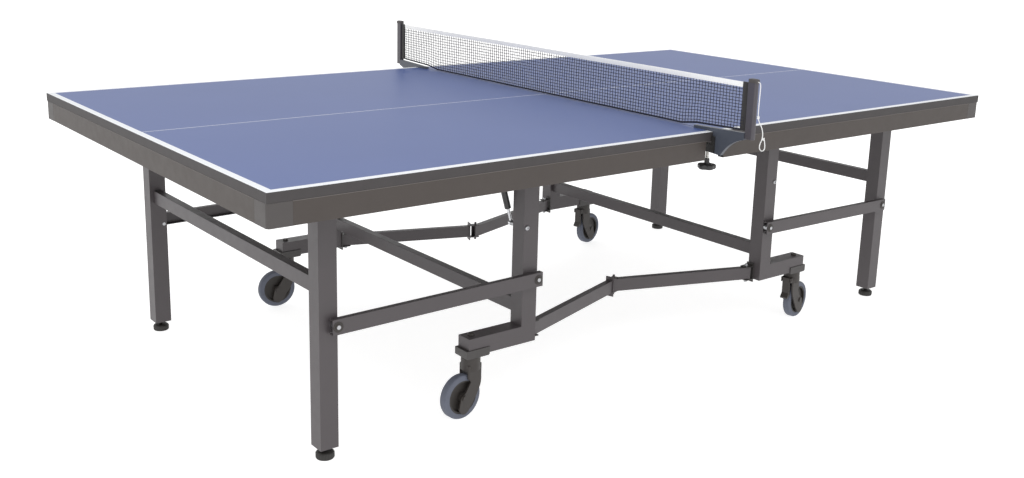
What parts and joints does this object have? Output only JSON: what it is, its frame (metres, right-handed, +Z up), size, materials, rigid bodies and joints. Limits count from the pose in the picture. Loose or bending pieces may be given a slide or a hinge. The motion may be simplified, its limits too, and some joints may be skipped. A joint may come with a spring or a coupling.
{
  "type": "table tennis table",
  "caption": "Folding table tennis table: blue playing halves on wheeled steel undercarriages, with parallel-folding end legs, gas struts, folding stays and a clamped net.",
  "frame": {"origin": "on the floor under the middle of the net", "axes": "+X along the table's length, +Y away from the side with the tension cord, +Z up"},
  "size_m": [2.74, 1.8453, 0.924],
  "materials": {
    "board_blue": "matt lacquered board with painted white lines",
    "apron_paint": "satin dark powder coat",
    "cap_plastic": "satin moulded",
    "bracket_paint": "satin dark powder coat",
    "frame_paint": "satin anthracite powder coat",
    "bolt_steel": "zinc plated",
    "strut_chrome": "polished",
    "strut_paint": "semi-gloss black",
    "foot_plastic": "moulded, ribbed",
    "caster_plastic": "moulded nylon",
    "hub_plastic": "moulded nylon",
    "tyre_rubber": "dark grey rubber",
    "net_set_paint": "dark blue-grey powder coat",
    "pad_rubber": "moulded",
    "knob_plastic": "moulded hand knob on a zinc plated screw",
    "net_mesh": "knotted dark mesh with white top tape",
    "cord_white": "woven white cord"
  },
  "bodies": {
    "left_undercarriage": {"left_inner_legs": "frame_paint", "left_lower_crossbar": "frame_paint", "left_toggle_brackets": "bracket_paint", "left_caster_plates": "bracket_paint", "left_undercarriage_pins": "bolt_steel"},
    "left_top": {"left_playing_board": "board_blue", "left_apron_rails": "apron_paint", "left_corner_caps": "cap_plastic", "left_under_top_brackets": "bracket_paint", "net_clamps": "net_set_paint", "net_posts": "net_set_paint", "net": "net_mesh", "tension_cord": "cord_white"},
    "left_end_frame": {"left_end_legs": "frame_paint", "left_end_crossbar": "frame_paint", "left_end_frame_pins": "bolt_steel"},
    "left_links": {"left_link_bars": "frame_paint"},
    "left_strut_rod_pair": {"left_strut_rods": "strut_chrome"},
    "left_strut_cylinder_pair": {"left_strut_cylinders": "strut_paint"},
    "right_undercarriage": {"right_inner_legs": "frame_paint", "right_lower_crossbar": "frame_paint", "right_toggle_brackets": "bracket_paint", "right_caster_plates": "bracket_paint", "right_undercarriage_pins": "bolt_steel"},
    "right_top": {"right_playing_board": "board_blue", "right_apron_rails": "apron_paint", "right_corner_caps": "cap_plastic", "right_under_top_brackets": "bracket_paint"},
    "right_end_frame": {"right_end_legs": "frame_paint", "right_end_crossbar": "frame_paint", "right_end_frame_pins": "bolt_steel"},
    "right_links": {"right_link_bars": "frame_paint"},
    "right_strut_rod_pair": {"right_strut_rods": "strut_chrome"},
    "right_strut_cylinder_pair": {"right_strut_cylinders": "strut_paint"},
    "near_left_toggle": {"near_left_toggle_bar": "frame_paint"},
    "left_near_foot": {"left_near_levelling_foot": "foot_plastic"},
    "left_near_caster": {"left_near_caster_fork": "caster_plastic"},
    "left_near_wheel": {"left_near_wheel_hub": "hub_plastic", "left_near_wheel_tyre": "tyre_rubber"},
    "near_right_toggle": {"near_right_toggle_bar": "frame_paint"},
    "right_near_foot": {"right_near_levelling_foot": "foot_plastic"},
    "right_near_caster": {"right_near_caster_fork": "caster_plastic"},
    "right_near_wheel": {"right_near_wheel_hub": "hub_plastic", "right_near_wheel_tyre": "tyre_rubber"},
    "right_near_brake": {"right_near_brake_lever": "caster_plastic"},
    "near_pad": {"near_clamp_pad": "pad_rubber"},
    "near_screw": {"near_clamp_screw": "knob_plastic"},
    "far_left_toggle": {"far_left_toggle_bar": "frame_paint"},
    "left_far_foot": {"left_far_levelling_foot": "foot_plastic"},
    "left_far_caster": {"left_far_caster_fork": "caster_plastic"},
    "left_far_wheel": {"left_far_wheel_hub": "hub_plastic", "left_far_wheel_tyre": "tyre_rubber"},
    "far_right_toggle": {"far_right_toggle_bar": "frame_paint"},
    "right_far_foot": {"right_far_levelling_foot": "foot_plastic"},
    "right_far_caster": {"right_far_caster_fork": "caster_plastic"},
    "right_far_wheel": {"right_far_wheel_hub": "hub_plastic", "right_far_wheel_tyre": "tyre_rubber"},
    "right_far_brake": {"right_far_brake_lever": "caster_plastic"},
    "far_pad": {"far_clamp_pad": "pad_rubber"},
    "far_screw": {"far_clamp_screw": "knob_plastic"}
  },
  "joints": [
    {"name": "stay_open", "type": "hinge", "parent": "left_undercarriage", "child": "near_left_toggle", "pos_m": [-0.455, -0.53, 0.2], "axis": [0, 0, -1], "range_deg": [0, 18.8]},
    {"name": "near_stay_knee", "type": "hinge", "parent": "near_left_toggle", "child": "near_right_toggle", "pos_m": [0, -0.375, 0.2], "axis": [0, 0, 1], "range_deg": [0, 37.6]},
    {"name": "near_stay_end", "type": "hinge", "parent": "near_right_toggle", "child": "right_undercarriage", "pos_m": [0.455, -0.53, 0.2], "axis": [0, 0, -1], "range_deg": [0, 18.8]},
    {"name": "far_stay_start", "type": "hinge", "parent": "left_undercarriage", "child": "far_left_toggle", "pos_m": [-0.455, 0.53, 0.2], "axis": [0, 0, 1], "range_deg": [0, 18.8]},
    {"name": "far_stay_knee", "type": "hinge", "parent": "far_left_toggle", "child": "far_right_toggle", "pos_m": [0, 0.375, 0.2], "axis": [0, 0, -1], "range_deg": [0, 37.6]},
    {"name": "left_fold", "type": "hinge", "parent": "left_undercarriage", "child": "left_top", "pos_m": [-0.488, 0, 0.719], "axis": [0, 1, 0], "range_deg": [0, 85]},
    {"name": "left_end_leg_fold", "type": "hinge", "parent": "left_top", "child": "left_end_frame", "pos_m": [-1.109, 0, 0.712], "axis": [0, -1, 0], "range_deg": [0, 85]},
    {"name": "left_link_swing", "type": "hinge", "parent": "left_undercarriage", "child": "left_links", "pos_m": [-0.488, 0, 0.363], "axis": [0, 1, 0], "range_deg": [0, 85]},
    {"name": "left_strut_swing", "type": "hinge", "parent": "left_undercarriage", "child": "left_strut_rod_pair", "pos_m": [-0.517, 0, 0.51], "axis": [0, 1, 0], "range_deg": [0, 20.5]},
    {"name": "left_strut_stroke", "type": "slide", "parent": "left_strut_rod_pair", "child": "left_strut_cylinder_pair", "axis": [-0.2938, 0, 0.9559], "range_m": [0, 0.087]},
    {"name": "left_near_foot_height", "type": "slide", "parent": "left_end_frame", "child": "left_near_foot", "axis": [0, 0, 1], "range_m": [-0.015, 0]},
    {"name": "left_far_foot_height", "type": "slide", "parent": "left_end_frame", "child": "left_far_foot", "axis": [0, 0, 1], "range_m": [-0.015, 0]},
    {"name": "right_fold", "type": "hinge", "parent": "right_undercarriage", "child": "right_top", "pos_m": [0.488, 0, 0.719], "axis": [0, -1, 0], "range_deg": [0, 85]},
    {"name": "right_end_leg_fold", "type": "hinge", "parent": "right_top", "child": "right_end_frame", "pos_m": [1.109, 0, 0.712], "axis": [0, 1, 0], "range_deg": [0, 85]},
    {"name": "right_link_swing", "type": "hinge", "parent": "right_undercarriage", "child": "right_links", "pos_m": [0.488, 0, 0.363], "axis": [0, -1, 0], "range_deg": [0, 85]},
    {"name": "right_strut_swing", "type": "hinge", "parent": "right_undercarriage", "child": "right_strut_rod_pair", "pos_m": [0.517, 0, 0.51], "axis": [0, -1, 0], "range_deg": [0, 20.5]},
    {"name": "right_strut_stroke", "type": "slide", "parent": "right_strut_rod_pair", "child": "right_strut_cylinder_pair", "axis": [0.2938, 0, 0.9559], "range_m": [0, 0.087]},
    {"name": "right_near_foot_height", "type": "slide", "parent": "right_end_frame", "child": "right_near_foot", "axis": [0, 0, 1], "range_m": [-0.015, 0]},
    {"name": "right_far_foot_height", "type": "slide", "parent": "right_end_frame", "child": "right_far_foot", "axis": [0, 0, 1], "range_m": [-0.015, 0]},
    {"name": "left_near_swivel", "type": "hinge", "parent": "left_undercarriage", "child": "left_near_caster", "pos_m": [-0.68, -0.545, 0.16], "axis": [0, 0, 1], "continuous": true},
    {"name": "left_near_roll", "type": "hinge", "parent": "left_near_caster", "child": "left_near_wheel", "pos_m": [-0.71586, -0.54814, 0.0625], "axis": [0.0872, -0.9962, 0], "continuous": true},
    {"name": "left_far_swivel", "type": "hinge", "parent": "left_undercarriage", "child": "left_far_caster", "pos_m": [-0.68, 0.545, 0.16], "axis": [0, 0, 1], "continuous": true},
    {"name": "left_far_roll", "type": "hinge", "parent": "left_far_caster", "child": "left_far_wheel", "pos_m": [-0.71573, 0.54939, 0.0625], "axis": [-0.1219, -0.9925, 0], "continuous": true},
    {"name": "right_near_swivel", "type": "hinge", "parent": "right_undercarriage", "child": "right_near_caster", "pos_m": [0.68, -0.545, 0.16], "axis": [0, 0, 1], "continuous": true},
    {"name": "right_near_roll", "type": "hinge", "parent": "right_near_caster", "child": "right_near_wheel", "pos_m": [0.71545, -0.53875, 0.0625], "axis": [-0.1736, 0.9848, 0], "continuous": true},
    {"name": "right_near_brake_press", "type": "hinge", "parent": "right_near_caster", "child": "right_near_brake", "pos_m": [0.64849, -0.55056, 0.148], "axis": [0.1736, -0.9848, 0], "range_deg": [0, 8]},
    {"name": "right_far_swivel", "type": "hinge", "parent": "right_undercarriage", "child": "right_far_caster", "pos_m": [0.68, 0.545, 0.16], "axis": [0, 0, 1], "continuous": true},
    {"name": "right_far_roll", "type": "hinge", "parent": "right_far_caster", "child": "right_far_wheel", "pos_m": [0.71534, 0.55187, 0.0625], "axis": [-0.1908, 0.9816, 0], "continuous": true},
    {"name": "right_far_brake_press", "type": "hinge", "parent": "right_far_caster", "child": "right_far_brake", "pos_m": [0.64859, 0.53889, 0.148], "axis": [0.1908, -0.9816, 0], "range_deg": [0, 8]},
    {"name": "near_clamp_turn", "type": "hinge", "parent": "near_pad", "child": "near_screw", "pos_m": [-0.009, -0.744, 0.7], "axis": [0, 0, 1], "range_deg": [-540, 0]},
    {"name": "near_clamp_travel", "type": "slide", "parent": "left_top", "child": "near_pad", "axis": [0, 0, 1], "range_m": [-0.0045, 0]},
    {"name": "far_clamp_turn", "type": "hinge", "parent": "far_pad", "child": "far_screw", "pos_m": [-0.009, 0.744, 0.7], "axis": [0, 0, 1], "range_deg": [-540, 0]},
    {"name": "far_clamp_travel", "type": "slide", "parent": "left_top", "child": "far_pad", "axis": [0, 0, 1], "range_m": [-0.0045, 0]}
  ],
  "couplings": [
    {"joint": "near_stay_knee", "follows": "stay_open", "ratio": 2},
    {"joint": "near_stay_end", "follows": "stay_open", "ratio": 1},
    {"joint": "far_stay_start", "follows": "stay_open", "ratio": 1},
    {"joint": "far_stay_knee", "follows": "stay_open", "ratio": 2},
    {"joint": "left_end_leg_fold", "follows": "left_fold", "ratio": 1},
    {"joint": "left_link_swing", "follows": "left_fold", "ratio": 1},
    {"joint": "left_strut_swing", "follows": "left_fold", "ratio": 0.23909},
    {"joint": "left_strut_stroke", "follows": "left_fold", "m_per_rad": 0.058185},
    {"joint": "right_fold", "follows": "left_fold", "ratio": 1},
    {"joint": "right_end_leg_fold", "follows": "left_fold", "ratio": 1},
    {"joint": "right_link_swing", "follows": "left_fold", "ratio": 1},
    {"joint": "right_strut_swing", "follows": "left_fold", "ratio": 0.23909},
    {"joint": "right_strut_stroke", "follows": "left_fold", "m_per_rad": 0.058185},
    {"joint": "near_clamp_travel", "follows": "near_clamp_turn", "m_per_rad": 0.00047746},
    {"joint": "far_clamp_travel", "follows": "far_clamp_turn", "m_per_rad": 0.00047746}
  ]
}
